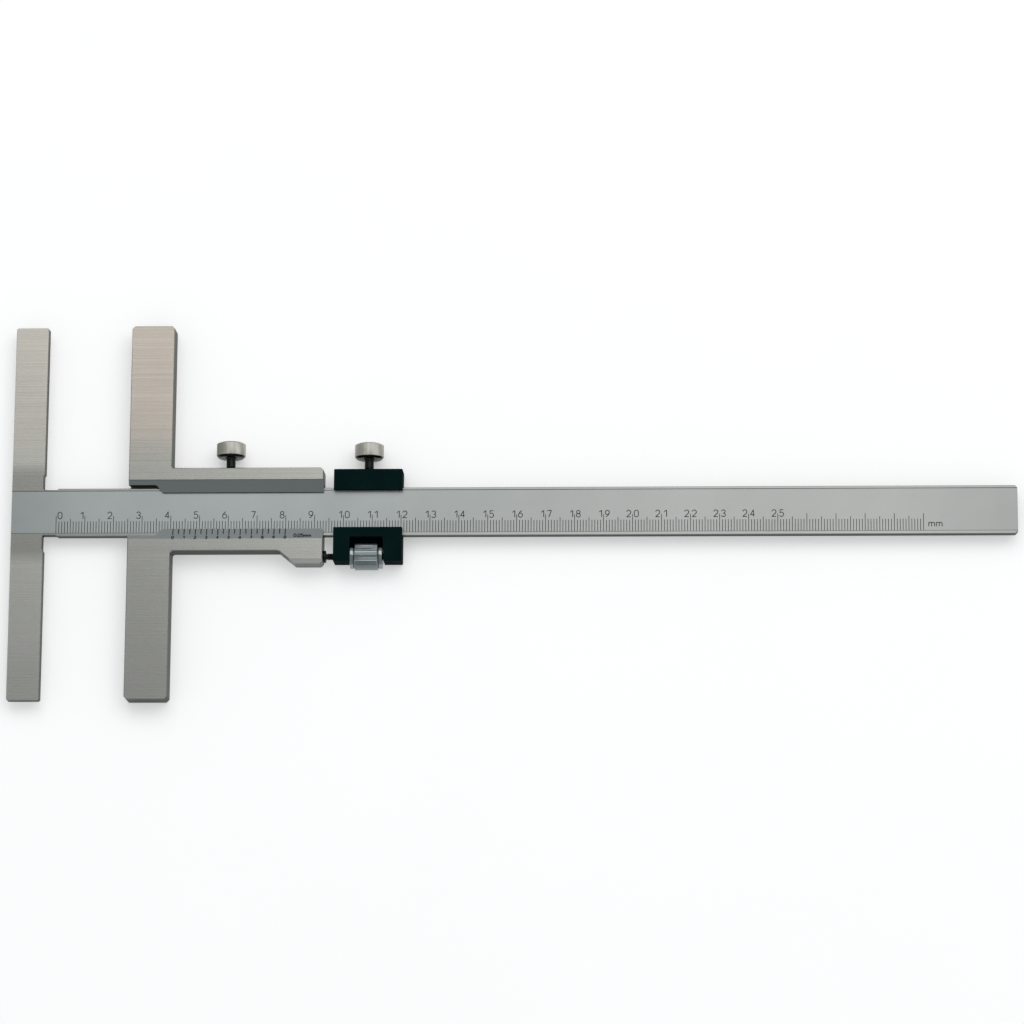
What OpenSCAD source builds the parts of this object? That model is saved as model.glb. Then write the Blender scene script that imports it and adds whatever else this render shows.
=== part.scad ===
// Marking caliper with two crossbar jaws, a vernier slider and a fine-adjust clamp.
// X runs along the beam away from the fixed jaw, Y across it towards the thumb screws, and Z
// out of the scale face. The caliper lies on its back, and Z = 0 is the surface it lies on.

/* [Beam] */
// Overall length of the beam
beam_len = 348; // [180:1:450]
// Height of the beam
beam_h = 17; // [15:0.5:22]
// Thickness of the beam and the fixed jaw
beam_t = 3.5; // [2.8:0.1:4.4]
// Ground land above the sunk scale face
upper_land = 0.9; // [0.5:0.1:1.4]
// Ground land below the sunk scale face
lower_land = 1.2; // [0.6:0.1:1.8]
// Depth of the scale face below the lands
scale_sink = 0.15; // [0.05:0.05:0.3]
// Corner chamfer on the free end of the beam
beam_corner = 0.8; // [0.3:0.1:2]

/* [Jaws] */
// Span of both jaws across the beam
jaw_span = 132; // [80:1:200]
// Width of the fixed jaw
fixed_jaw_w = 11.5; // [8:0.5:18]
// Width of the moving jaw
moving_jaw_w = 15; // [10:0.5:22]
// Corner chamfer on the ends of the fixed jaw
fixed_jaw_corner = 0.5; // [0.2:0.1:2]
// Corner chamfer on the ends of the moving jaw
moving_jaw_corner = 1; // [0.2:0.1:2]
// Depth of the grinding relief at the root of the fixed jaw
root_relief = 0.45; // [0.2:0.05:0.8]
// Length of the grinding relief up the fixed jaw
root_relief_len = 4.7; // [2:0.1:8]
// Length of the grinding relief along the beam beside the fixed jaw
neck_relief_len = 4.4; // [2:0.1:8]

/* [Slider] */
// Distance from the outer face of the fixed jaw to the same face of the moving jaw
reading = 41; // [20:0.05:60]
// Length of the slider along the beam, jaw included
slider_len = 67.8; // [60:0.2:90]
// Thickness of the slider and the moving jaw
slider_t = 8; // [7.4:0.1:9.4]
// Height of the upper rail above the beam's channel
upper_rail_h = 5.6; // [4.5:0.1:9]
// Height of the lower rail below the beam's channel
lower_rail_h = 5.5; // [4.8:0.1:9]
// Overlap of the upper lip over the beam's face
upper_lip = 1.7; // [1:0.1:3]
// Overlap of the lower lip, which carries the vernier
lower_lip = 2.4; // [1:0.1:3.4]
// Thickness of both lips at their edges
lip_t = 0.7; // [0.4:0.1:1]
// Height of the bevelled band above the window
upper_bevel = 4.2; // [3:0.1:6]
// Height of the bevelled band below the window
lower_bevel = 3.75; // [3:0.05:6]
// Length of the wider mouth of the window beside the jaw
mouth_len = 9; // [4:0.2:12]
// Room that the mouth leaves above the beam
mouth_gap = 0.8; // [0.4:0.1:1]
// Radius where the mouth's edge turns towards the lip
mouth_r = 1.5; // [0.5:0.1:2]
// Angle at which the mouth's edge runs out to the lip
mouth_turn = 50; // [30:1:70]
// Depth of the boss for the spindle below the lower rail
boss_drop = 4.6; // [4.2:0.1:8]
// Distance from the axis of the spindle to the lower edge of the boss
boss_below = 3; // [2.4:0.1:4]
// Length of the boss along its lower edge
boss_len = 9.7; // [6:0.1:14]
// Length of the slanted shoulder that leads into the boss
boss_slant = 5.6; // [3:0.1:9]
// Height of the bevel on the front of the boss
boss_bevel = 1.7; // [1:0.1:4]
// Depth of that bevel at the lower edge of the boss
boss_bevel_depth = 0.25; // [0.2:0.05:0.8]
// Corner chamfer on the free end of the slider
slider_corner = 1; // [0.3:0.1:2]
// Radius in the corner between the moving jaw and the lower rail
jaw_fillet = 1; // [0.4:0.1:3]

/* [Fine-adjust clamp] */
// Free distance between the slider and the clamp
clamp_gap = 3.6; // [2.4:0.1:8]
// Length of the clamp along the beam
clamp_len = 23.8; // [20:0.2:34]
// Thickness of the clamp
clamp_t = 8; // [7:0.1:9.4]
// Height of the clamp above the beam's channel
clamp_rail_h = 5; // [3.5:0.1:8]
// Overlap of the clamp's upper lip over the beam's face
clamp_upper_lip = 1; // [0.6:0.1:3]
// Overlap of the clamp's lower lip over the beam's face
clamp_lower_lip = 2.6; // [0.6:0.1:3.4]
// Wall between the beam's channel and the nut's notch
notch_web = 0.7; // [0.6:0.1:1.2]
// Length of the fork arm on the slider's side
fork_arm = 5.7; // [4:0.1:7]
// Depth of the fork arms below the axis of the nut
fork_drop = 2.2; // [1.8:0.1:4]
// Widening of the notch towards its open end, on the free side
notch_flare = 0.4; // [0.1:0.1:0.8]
// Thickness of the wall that closes the back of the notch above the nut
notch_back_t = 1; // [0.6:0.1:1.4]
// Distance of that wall's edge from the nut
notch_back_gap = 0.4; // [0.3:0.1:0.8]
// Height of the bevel on the front of the fork arms
fork_bevel = 1.6; // [0.8:0.1:2.4]
// Depth of that bevel at the lower edge of the arms
fork_bevel_depth = 0.25; // [0.2:0.05:0.8]

/* [Nut and spindle] */
// Diameter over the knurl of the nut
nut_d = 9.4; // [7:0.1:11]
// Length of the knurled part of the nut
nut_knurl_len = 8.3; // [5:0.1:9]
// Diameter of the nut's two collars
nut_collar_d = 8.4; // [5:0.1:8.6]
// Length of each collar of the nut
nut_collar_len = 1.45; // [0.8:0.05:2]
// Outer diameter of the spindle's thread
spindle_d = 2.5; // [2:0.1:3.2]
// Free length of the spindle
spindle_reach = 22.7; // [20:0.1:26]
// Length of the spindle screwed into the boss
spindle_grip = 8; // [4:0.1:12]
// Diameter of the collar on the spindle
spindle_collar_d = 4.3; // [3.6:0.1:6]
// Length of the collar on the spindle
spindle_collar_len = 1; // [0.5:0.1:1.4]

/* [Thumb screws] */
// Diameter over the knurl of the head
head_d = 10; // [8.2:0.2:14]
// Length of the head
head_len = 5.4; // [3:0.1:9]
// Chamfer on both ends of the head
head_chamfer = 0.8; // [0.2:0.1:1]
// Outer diameter of the screw's thread
screw_d = 3; // [2.5:0.1:4]
// Free neck between the head and the rail or clamp
neck_len = 4.1; // [1:0.1:8]
// Diameter of the point that sits in the strip
point_d = 1.6; // [1:0.1:2]
// Length of that point
point_len = 0.5; // [0.3:0.05:0.7]
// Distance of the slider's screw from the face of the moving jaw
slider_screw_x = 35.1; // [24:0.1:46]

/* [Strips] */
// Thickness of the strips between the beam and the screws
strip_t = 0.8; // [0.75:0.05:1.2]
// Distance from either end of a strip to the end of its rail
strip_inset = 2; // [0.5:0.1:4]
// Outer diameter of the small set screws that hold the slider's strip
set_screw_d = 2; // [1.6:0.1:2.5]
// Diameter of the points of the small set screws
set_point_d = 1; // [0.7:0.1:1.4]
// Distance of each small set screw from the end of the strip
set_screw_inset = 5; // [3:0.1:8]
// Width of the slot in the small set screws
set_slot_w = 0.4; // [0.3:0.05:0.5]
// Depth of the slot in the small set screws
set_slot_depth = 0.7; // [0.4:0.05:0.8]

/* [Finish and fits] */
// Width of the chamfer on all plate edges
edge_break = 0.25; // [0.1:0.05:0.4]
// Pitch of the knurl
knurl_pitch = 0.62; // [0.5:0.02:1]
// Depth of the knurl
knurl_depth = 0.16; // [0.1:0.02:0.3]
// Sliding clearance between the beam and its channels
slide_play = 0.03; // [0.02:0.01:0.06]
// Clearance between the strips and the top edge of the beam
strip_gap = 0.06; // [0.04:0.01:0.12]
// Distance of the strips' sides from the faces of the beam
strip_side = 0.1; // [0.05:0.05:0.3]
// Lift of the strips when their screws are loosened
strip_lift = 0.3; // [0.2:0.05:0.4]
// Radial clearance of turning threads and of the screw points
turn_play = 0.05; // [0.02:0.01:0.08]
// Radial clearance of fixed threads
fixed_play = 0.02; // [0.01:0.01:0.04]
// Clearance of the nut between the fork arms
nut_play = 0.1; // [0.05:0.05:0.3]

/* [Hidden] */
$fn = 96;
past = 1;

channel_lo = -beam_h / 2 - slide_play;
strip_lo = beam_h / 2 + strip_gap;
strip_hi = strip_lo + strip_t;
channel_hi = strip_hi + strip_lift;
channel_t = beam_t + 2 * slide_play;
strip_w = beam_t - 2 * strip_side;

slider_x = reading;
slider_end = slider_x + slider_len;
slider_hi = channel_hi + upper_rail_h;
slider_lo = channel_lo - lower_rail_h;
boss_lo = slider_lo - boss_drop;
axis_y = boss_lo + boss_below;
window_hi = beam_h / 2 - upper_lip;
window_lo = -beam_h / 2 + lower_lip;

clamp_x = slider_end + clamp_gap;
clamp_end = clamp_x + clamp_len;
clamp_hi = channel_hi + clamp_rail_h;
clamp_lo = axis_y - fork_drop;
nut_len = nut_knurl_len + 2 * nut_collar_len;
notch_x = clamp_x + fork_arm;
notch_len = nut_len + 2 * nut_play;
notch_hi = channel_lo - notch_web;
notch_back_z = -clamp_t / 2 + 2 * edge_break;
notch_back_nut = sqrt(max(0, pow(nut_d / 2, 2) - pow(notch_back_z + notch_back_t, 2)));
notch_back_lo = min(notch_hi, axis_y + notch_back_nut + notch_back_gap);

slider_strip_x = slider_x + mouth_len + strip_inset;
slider_strip_end = slider_end - strip_inset;
set_screw_at = [slider_strip_x + set_screw_inset, slider_strip_end - set_screw_inset];
thumb_slider_x = slider_x + slider_screw_x;
thumb_clamp_x = clamp_x + clamp_len / 2;

rest_z = max(head_d, slider_t, clamp_t, nut_d) / 2;

steel = [0.68, 0.67, 0.64];
plated = [0.74, 0.74, 0.71];
blackened = [0.05, 0.1, 0.1];
bronze = [0.62, 0.46, 0.26];
darkened = [0.2, 0.21, 0.22];

// Moves a piece from the mid-plane of the beam and the outer face of the fixed jaw to its place.
module place() {
    translate([-beam_len / 2, 0, rest_z]) children();
}

// The lower half of an outline and its mirror image above the beam's centre line.
function mirrored(half) =
    concat(half, [for (i = [len(half) - 1 : -1 : 0]) [half[i].x, -half[i].y]]);

// How far an edge's chamfer runs past a corner of an outline: on at outer corners, and short
// of inner ones.
function run_out(before, corner, after) =
    cross(corner - before, after - corner) > 0 ? 2 * edge_break : -edge_break;

// A plate with the given outline and chamfered edges, centred on the mid-plane. The outline
// runs anticlockwise.
module plate(outline, thickness) {
    count = len(outline);
    face = thickness / 2;
    difference() {
        linear_extrude(thickness, center = true) polygon(outline);
        for (i = [0 : count - 1], side = [-1, 1])
            let (
                before = outline[(i + count - 1) % count],
                from = outline[i],
                to = outline[(i + 1) % count],
                after = outline[(i + 2) % count],
                run = to - from
            )
            translate([from.x, from.y, 0]) rotate([0, 0, atan2(run.y, run.x)])
                bar_x(-run_out(before, from, to), norm(run) + run_out(from, to, after), [
                    [2 * edge_break, side * (face + edge_break)],
                    [-edge_break, side * (face - 2 * edge_break)],
                    [-edge_break, side * (face + edge_break)],
                ]);
    }
}

// A bar through a piece along X, with its section given in Y and Z.
module bar_x(from, to, section) {
    translate([from, 0, 0]) rotate([90, 0, 90]) linear_extrude(to - from) polygon(section);
}

// A round rod along X or along Y.
module rod_x(from, to, d) {
    translate([from, 0, 0]) rotate([0, 90, 0]) cylinder(d = d, h = to - from);
}
module rod_y(from, to, d) {
    translate([0, from, 0]) rotate([-90, 0, 0]) cylinder(d = d, h = to - from);
}

// A shallow bevel along a lower front edge.
module low_bevel(from, to, edge, height, depth, front) {
    bar_x(from, to, [
        [edge - height, front - 2 * depth],
        [edge + height, front],
        [edge + height, front + past],
        [edge - height, front + past],
    ]);
}

// The space that the beam and a strip take up inside the slider or the clamp.
module channel(from, to) {
    translate([from - past, channel_lo, -channel_t / 2])
        cube([to - from + 2 * past, channel_hi - channel_lo, channel_t]);
}

// A straight knurled drum along Z with chamfered ends. The chamfers are the cones of an
// envelope that is wider than the crests of the knurl.
module knurled_drum(d, h, chamfer) {
    teeth = 4 * round(PI * d / knurl_pitch / 4);
    end_d = d - 2 * chamfer;
    wide_d = d + 2 * knurl_depth;
    cone_h = chamfer + knurl_depth;
    intersection() {
        linear_extrude(h) polygon([for (i = [0 : 2 * teeth - 1])
            let (r = d / 2 - (i % 2) * knurl_depth) r * [cos(180 * i / teeth), sin(180 * i / teeth)]]);
        union() {
            cylinder(d1 = end_d, d2 = wide_d, h = cone_h);
            translate([0, 0, cone_h]) cylinder(d = wide_d, h = h - 2 * cone_h);
            translate([0, 0, h - cone_h]) cylinder(d1 = wide_d, d2 = end_d, h = cone_h);
        }
    }
}

// Beam and fixed jaw. The scale face is sunk between two lands and runs on across the jaw.
module beam() {
    jaw_in = fixed_jaw_w - root_relief;
    neck_end = fixed_jaw_w + neck_relief_len;
    neck_y = -beam_h / 2 + root_relief;
    relief_y = -beam_h / 2 - root_relief_len;
    outline = mirrored([
        [0, -jaw_span / 2 + fixed_jaw_corner],
        [fixed_jaw_corner, -jaw_span / 2],
        [fixed_jaw_w - fixed_jaw_corner, -jaw_span / 2],
        [fixed_jaw_w, -jaw_span / 2 + fixed_jaw_corner],
        [fixed_jaw_w, relief_y - root_relief],
        [jaw_in, relief_y],
        [jaw_in, neck_y],
        [neck_end, neck_y],
        [neck_end + root_relief, -beam_h / 2],
        [beam_len - beam_corner, -beam_h / 2],
        [beam_len, -beam_h / 2 + beam_corner],
    ]);
    color(steel) place() difference() {
        plate(outline, beam_t);
        translate([-past, -beam_h / 2 + lower_land, beam_t / 2 - scale_sink])
            cube([beam_len + 2 * past, beam_h - lower_land - upper_land, past]);
    }
}

// One edge of the window: cut back beside the jaw, then round and out to the lip.
// side is 1 above the beam and -1 below it.
function window_edge(side, mouth, lip) =
    let (
        drop = abs(mouth - lip),
        r = min(mouth_r, drop / (1 - cos(mouth_turn))),
        turn_x = slider_x + mouth_len,
        out_x = turn_x + r * sin(mouth_turn) + (drop - r * (1 - cos(mouth_turn))) / tan(mouth_turn)
    )
    concat(
        [[slider_x - past, mouth]],
        [for (i = [0 : 6]) let (a = mouth_turn * i / 6)
            [turn_x + r * sin(a), mouth - side * r * (1 - cos(a))]],
        [[out_x, lip], [slider_end + past, lip]]
    );

// The window in the front wall of the slider.
module slider_window() {
    above = window_edge(1, beam_h / 2 + mouth_gap, window_hi);
    below = window_edge(-1, channel_lo, window_lo);
    translate([0, 0, beam_t / 2]) linear_extrude(slider_t)
        polygon(concat(below, [for (i = [len(above) - 1 : -1 : 0]) above[i]]));
}

// The bevel on one lip, cut along the whole slider. side is 1 above the window and -1 below.
module lip_bevel(side, lip, band) {
    front = slider_t / 2;
    edge_z = channel_t / 2 + lip_t;
    far = 2 * past;
    slope = (front - edge_z) / band;
    bar_x(slider_x - past, slider_end + past, [
        [lip - side * far, edge_z - slope * far],
        [lip + side * (band + far), front + slope * far],
        [lip - side * far, front + slope * far],
    ]);
}

// Slider in one piece: moving jaw, both rails, bevelled lips, back wall and boss.
module slider() {
    jaw_end = slider_x + moving_jaw_w;
    boss_x = slider_end - boss_len;
    tip = jaw_span / 2;
    outline = [
        [slider_x + moving_jaw_corner, -tip],
        [jaw_end - moving_jaw_corner, -tip],
        [jaw_end, -tip + moving_jaw_corner],
        [jaw_end, slider_lo],
        [boss_x - boss_slant, slider_lo],
        [boss_x, boss_lo],
        [slider_end - slider_corner, boss_lo],
        [slider_end, boss_lo + slider_corner],
        [slider_end, slider_hi - slider_corner],
        [slider_end - slider_corner, slider_hi],
        [jaw_end, slider_hi],
        [jaw_end, tip - moving_jaw_corner],
        [jaw_end - moving_jaw_corner, tip],
        [slider_x + moving_jaw_corner, tip],
        [slider_x, tip - moving_jaw_corner],
        [slider_x, -tip + moving_jaw_corner],
    ];
    front = slider_t / 2;
    color(steel) place() difference() {
        union() {
            plate(outline, slider_t);
            translate([jaw_end, slider_lo, 0]) difference() {
                translate([0, -jaw_fillet, -front + edge_break])
                    cube([jaw_fillet, jaw_fillet, slider_t - 2 * edge_break]);
                translate([jaw_fillet, -jaw_fillet, -slider_t]) cylinder(r = jaw_fillet, h = 2 * slider_t);
            }
        }
        channel(slider_x, slider_end);
        slider_window();
        lip_bevel(1, window_hi, upper_bevel);
        lip_bevel(-1, window_lo, lower_bevel);
        low_bevel(boss_x - boss_slant - past, slider_end + past,
            boss_lo, boss_bevel, boss_bevel_depth, front);
        translate([thumb_slider_x, 0, 0]) rod_y(beam_h / 2, slider_hi + past, screw_d + 2 * turn_play);
        for (x = set_screw_at)
            translate([x, 0, 0]) rod_y(beam_h / 2, slider_hi + past, set_screw_d + 2 * fixed_play);
        translate([0, axis_y, 0])
            rod_x(slider_end - spindle_grip, slider_end + past, spindle_d + 2 * fixed_play);
    }
}

// A strip that a screw presses onto the top edge of the beam, with holes for screw points.
module strip(from, to, holes) {
    difference() {
        translate([from, strip_lo, -strip_w / 2]) cube([to - from, strip_t, strip_w]);
        for (hole = holes)
            translate([hole[0], 0, 0]) rod_y(strip_lo - past, strip_hi + past, hole[1] + 2 * turn_play);
    }
}

module slider_gib() {
    color(bronze) place() strip(slider_strip_x, slider_strip_end,
        [[thumb_slider_x, point_d], [set_screw_at[0], set_point_d], [set_screw_at[1], set_point_d]]);
}

module clamp_gib() {
    color(bronze) place()
        strip(clamp_x + strip_inset, clamp_end - strip_inset, [[thumb_clamp_x, point_d]]);
}

// Two slotted set screws whose points hold the slider's strip in place.
module gib_screws() {
    color(darkened) place() for (x = set_screw_at) translate([x, 0, 0]) difference() {
        union() {
            rod_y(channel_hi, slider_hi - edge_break, set_screw_d);
            rod_y(strip_hi - strip_t / 2, channel_hi, set_point_d);
        }
        translate([-set_slot_w / 2, slider_hi - edge_break - set_slot_depth, -set_screw_d])
            cube([set_slot_w, set_slot_depth + past, 2 * set_screw_d]);
    }
}

// Thumb screw whose head stands clear above the given seat.
module thumb_screw(seat) {
    under = seat + neck_len;
    rod_y(strip_hi, under, screw_d);
    rod_y(strip_hi - point_len, strip_hi, point_d);
    translate([0, under, 0]) rotate([-90, 0, 0]) knurled_drum(head_d, head_len, head_chamfer);
}

module slider_screw() {
    color(plated) place() translate([thumb_slider_x, 0, 0]) thumb_screw(slider_hi);
}

module clamp_screw() {
    color(plated) place() translate([thumb_clamp_x, 0, 0]) thumb_screw(clamp_hi);
}

// Clamp block round the beam, open in front, with a fork below that holds the nut.
module clamp() {
    corner = edge_break;
    outline = [
        [clamp_x + corner, clamp_lo],
        [notch_x, clamp_lo],
        [notch_x, notch_hi],
        [notch_x + notch_len, notch_hi],
        [notch_x + notch_len + notch_flare, clamp_lo],
        [clamp_end - corner, clamp_lo],
        [clamp_end, clamp_lo + corner],
        [clamp_end, clamp_hi - corner],
        [clamp_end - corner, clamp_hi],
        [clamp_x + corner, clamp_hi],
        [clamp_x, clamp_hi - corner],
        [clamp_x, clamp_lo + corner],
    ];
    color(blackened) place() difference() {
        union() {
            plate(outline, clamp_t);
            translate([notch_x - corner, notch_back_lo, notch_back_z])
                cube([notch_len + 2 * corner, notch_hi + corner - notch_back_lo, notch_back_t]);
        }
        low_bevel(clamp_x - past, clamp_end + past,
            clamp_lo, fork_bevel, fork_bevel_depth, clamp_t / 2);
        channel(clamp_x, clamp_end);
        translate([clamp_x - past, -beam_h / 2 + clamp_lower_lip, 0])
            cube([clamp_len + 2 * past, beam_h - clamp_lower_lip - clamp_upper_lip, clamp_t]);
        translate([thumb_clamp_x, 0, 0]) rod_y(beam_h / 2, clamp_hi + past, screw_d + 2 * turn_play);
        translate([0, axis_y, 0]) rod_x(clamp_x - past, clamp_end + past, spindle_d + 2 * turn_play);
    }
}

// Knurled nut with a smooth collar at each end.
module adjusting_nut() {
    color(plated) place() translate([notch_x + nut_play, axis_y, 0]) difference() {
        union() {
            rod_x(0, nut_len, nut_collar_d);
            translate([nut_collar_len, 0, 0]) rotate([0, 90, 0])
                knurled_drum(nut_d, nut_knurl_len, knurl_depth);
        }
        rod_x(-past, nut_len + past, spindle_d + 2 * turn_play);
    }
}

// Fine-thread spindle, screwed into the slider's boss up to its collar.
module spindle() {
    color(darkened) place() translate([slider_end, axis_y, 0]) {
        rod_x(-spindle_grip, spindle_reach, spindle_d);
        rod_x(0, spindle_collar_len, spindle_collar_d);
    }
}

beam();
slider();
slider_gib();
gib_screws();
slider_screw();
clamp();
clamp_gib();
clamp_screw();
adjusting_nut();
spindle();
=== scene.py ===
"""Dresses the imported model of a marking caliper: finishes, engraved scales and turned parts."""

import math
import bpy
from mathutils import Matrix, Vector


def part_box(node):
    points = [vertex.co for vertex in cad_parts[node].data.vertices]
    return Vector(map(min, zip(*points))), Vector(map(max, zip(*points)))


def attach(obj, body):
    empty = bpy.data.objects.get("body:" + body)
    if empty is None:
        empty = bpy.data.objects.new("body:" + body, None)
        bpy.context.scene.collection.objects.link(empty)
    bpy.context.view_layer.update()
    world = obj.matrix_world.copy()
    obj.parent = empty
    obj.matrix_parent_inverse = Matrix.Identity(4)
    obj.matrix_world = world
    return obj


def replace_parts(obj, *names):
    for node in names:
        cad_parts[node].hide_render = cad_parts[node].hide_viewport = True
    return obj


bl_info = {
    "name": "Marking caliper",
    "version": (1, 0, 0),
    "blender": (4, 5, 0),
    "location": "3D View > Sidebar > Caliper",
    "description": "Ground steel, engraved scales, knurled screws and nut of a marking caliper",
    "category": "Object",
}

import bmesh
import bpy
from bpy.props import FloatProperty, FloatVectorProperty, IntProperty, PointerProperty
from mathutils import Matrix, Vector

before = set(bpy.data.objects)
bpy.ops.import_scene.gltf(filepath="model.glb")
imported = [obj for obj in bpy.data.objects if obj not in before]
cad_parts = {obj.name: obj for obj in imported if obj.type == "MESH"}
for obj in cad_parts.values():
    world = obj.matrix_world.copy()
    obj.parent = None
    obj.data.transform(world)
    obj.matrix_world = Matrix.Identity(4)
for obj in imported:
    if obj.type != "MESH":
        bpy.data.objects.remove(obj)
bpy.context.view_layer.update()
BEAM_LOW, BEAM_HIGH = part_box("beam")
SLIDER_LOW, SLIDER_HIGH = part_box("slider")
CLAMP_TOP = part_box("clamp")[1].y
NUT_LOW, NUT_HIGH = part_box("adjusting_nut")
SPINDLE_LOW, SPINDLE_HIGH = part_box("spindle")
MM = 0.001
MID_Z = (BEAM_LOW.z + BEAM_HIGH.z) / 2

# Distances of edges from the centre line, across the beam.
SUNK_LOW, SUNK_HIGH = -7.3 * MM, 7.6 * MM
LIP_LOW, LIP_HIGH = -6.1 * MM, 6.8 * MM
BEVEL_LOW, BEVEL_HIGH = -9.85 * MM, 11.0 * MM
UPPER_RAIL = 15.26 * MM
PAST_BEAM = 8.6 * MM
# A place left of everything.
PAST_JAW = BEAM_LOW.x - MM
# Heights of the sunk scale face and of the lips' edges.
SUNK_Z = BEAM_HIGH.z - 0.15 * MM
LIP_Z = 7.48 * MM
# Half the width of a line of painted shade in a corner.
SHADE_LINE_HALF_WIDTH = 0.09 * MM


def tone(red, green, blue):
    """A colour given as 0 to 255 on the screen, as Blender's linear values."""
    parts = []
    for value in (red, green, blue):
        value /= 255
        parts.append(value / 12.92 if value <= 0.04045 else ((value + 0.055) / 1.055) ** 2.4)
    return tuple(parts)


# Settings that a user would change


def length(name, about, default):
    return FloatProperty(name=name, description=about, default=default, unit="LENGTH", precision=5)


def colour(name, about, default):
    return FloatVectorProperty(
        name=name, description=about, default=default, subtype="COLOR", min=0, max=1
    )


class BeamScaleSettings(bpy.types.PropertyGroup):
    zero: length("Zero", "Distance of the zero line from the fixed jaw's outer face", 15.7 * MM)
    lines: IntProperty(name="Lines", description="Number of millimetre lines", default=301)
    width: length("Line width", "Width of a scale line", 0.22 * MM)
    short: length("1 mm line", "Length of the millimetre lines", 4.05 * MM)
    middle: length("5 mm line", "Length of the five-millimetre lines", 4.95 * MM)
    long: length("10 mm line", "Length of the centimetre lines", 6.0 * MM)
    foot: length("Foot", "Height of the lower end of the lines above the centre line", -7.2 * MM)
    last: IntProperty(name="Last numeral", description="Last centimetre with one", default=25)
    digit: length("Numeral height", "Height of the numerals", 2.35 * MM)
    stroke: length("Numeral stroke", "Stroke width of the numerals", 0.29 * MM)
    relief: length("Relief", "Height of the filling above the face", 0.012 * MM)


class VernierSettings(bpy.types.PropertyGroup):
    zero: length("Zero", "Distance of the vernier's zero from the moving jaw's face", 15.7 * MM)
    lines: IntProperty(name="Lines", description="Number of vernier lines", default=21)
    spacing: length("Spacing", "Distance from line to line", 1.95 * MM)
    width: length("Line width", "Width of a vernier line", 0.36 * MM)
    short: length("Short line", "Length of every second line", 1.95 * MM)
    long: length("Long line", "Length of the numbered lines", 2.35 * MM)
    digit: length("Numeral height", "Height of the vernier's numerals", 1.0 * MM)
    stroke: length("Numeral stroke", "Stroke width of the vernier's numerals", 0.38 * MM)


class TurnedSettings(bpy.types.PropertyGroup):
    knurl_pitch: length("Head knurl pitch", "Distance from ridge to ridge on the heads", 0.5 * MM)
    knurl_depth: length("Head knurl depth", "Depth of the knurl on the heads", 0.2 * MM)
    nut_pitch: length("Nut knurl pitch", "Distance from ridge to ridge on the nut", 0.8 * MM)
    nut_depth: length("Nut knurl depth", "Depth of the knurl on the nut", 0.15 * MM)
    screw_pitch: length("Screw pitch", "Thread pitch of the thumb screws", 0.5 * MM)
    spindle_pitch: length("Spindle pitch", "Thread pitch of the spindle", 0.45 * MM)
    thread_share: FloatProperty(
        name="Thread depth", description="Depth of a thread as a share of its pitch",
        default=0.55, min=0.3, max=0.7, subtype="FACTOR",
    )


class FinishSettings(bpy.types.PropertyGroup):
    ground: colour("Ground steel", "Colour of the ground faces", tone(166, 167, 162))
    # A warm colour that the upper arms take as a painted reflection.
    tanned: colour("Warm painted reflection", "Colour of the upper arms of both jaws", tone(171, 164, 155))
    chrome: colour("Matte chrome", "Colour of the scale faces", tone(160, 166, 166))
    aged: colour("Aged chrome", "Colour of the chrome away from the jaws", tone(165, 167, 165))
    plated: colour("Plated steel", "Colour of the screw heads", tone(192, 190, 182))
    nickel: colour("Nickel", "Colour of the adjusting nut", tone(141, 150, 152))
    black: colour("Blackened steel", "Colour of the clamp", tone(9, 26, 27))
    dark: colour("Dark steel", "Colour of the spindle and the necks", tone(34, 40, 38))
    bronze: colour("Bronze", "Colour of the strips", tone(176, 138, 84))
    enamel: colour("Filling", "Colour of the filled lines and numerals", tone(34, 38, 38))
    floor: colour("Floor", "Colour of the floor", (0.94, 0.945, 0.95))


class StageSettings(bpy.types.PropertyGroup):
    focal: FloatProperty(
        name="Focal length", description="Focal length of the camera",
        default=152.5, subtype="DISTANCE_CAMERA",
    )
    distance: length("Distance", "Distance of the camera from the object", 1.5)
    lift: FloatProperty(
        name="Floor lift", description="Light that the floor adds where it is seen", default=0.34
    )
    room: FloatProperty(name="Room light", description="Strength of the room's light", default=0.45)
    key: FloatProperty(
        name="Soft box", description="Power of the large soft box", default=18.5, subtype="POWER"
    )


# Node trees


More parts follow.
